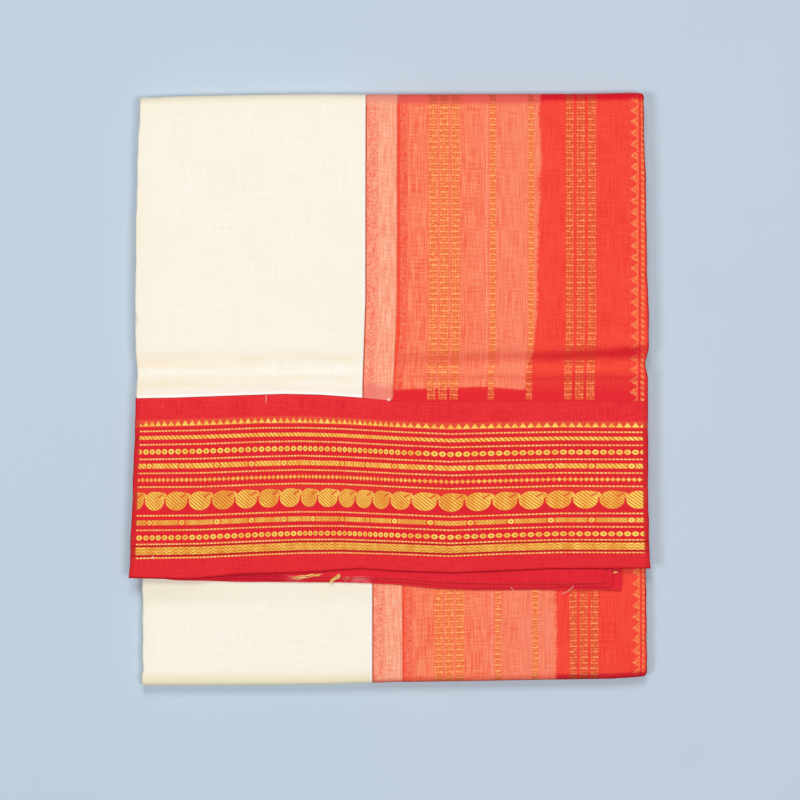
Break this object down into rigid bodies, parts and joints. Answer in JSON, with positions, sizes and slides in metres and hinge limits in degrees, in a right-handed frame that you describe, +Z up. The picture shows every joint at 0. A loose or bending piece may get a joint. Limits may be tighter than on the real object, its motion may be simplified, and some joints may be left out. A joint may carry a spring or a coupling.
{
  "type": "folded saree",
  "caption": "Folded saree in cream cotton with a coral and red striped end piece and a wide red border woven in gold, letter-folded and lying flat for storage or display.",
  "frame": {"origin": "middle of the folded pack's footprint, on the surface it lies on", "axes": "+Z up from the surface, +Y from the bottom fold towards the top fold (across the saree's width), +X along the saree's length towards the striped end piece"},
  "size_m": [0.3608, 0.4104, 0.0162],
  "materials": {
    "cream_cotton": "plain-woven fine cotton, matt with a soft sheen",
    "coral_cloth": "sheer coral weave over paler cloth, matt",
    "red_cloth": "sheer red weave with lines of gold thread, soft sheen",
    "border_silk": "crimson silk with rows of woven gold thread, soft sheen",
    "hidden_cloth": "folded layers of fine cloth, matt"
  },
  "bodies": {
    "root": {"hidden_layers": "hidden_cloth", "flap_body": "cream_cotton", "flap_join": "coral_cloth", "flap_pallu": "red_cloth", "flap_border": "border_silk", "lower_body": "cream_cotton", "lower_join": "coral_cloth", "lower_pallu": "red_cloth", "back_body": "cream_cotton", "back_join": "coral_cloth", "back_pallu": "red_cloth", "selvedge_ply_1": "border_silk", "selvedge_ply_2": "border_silk", "selvedge_ply_3": "border_silk"}
  },
  "joints": []
}
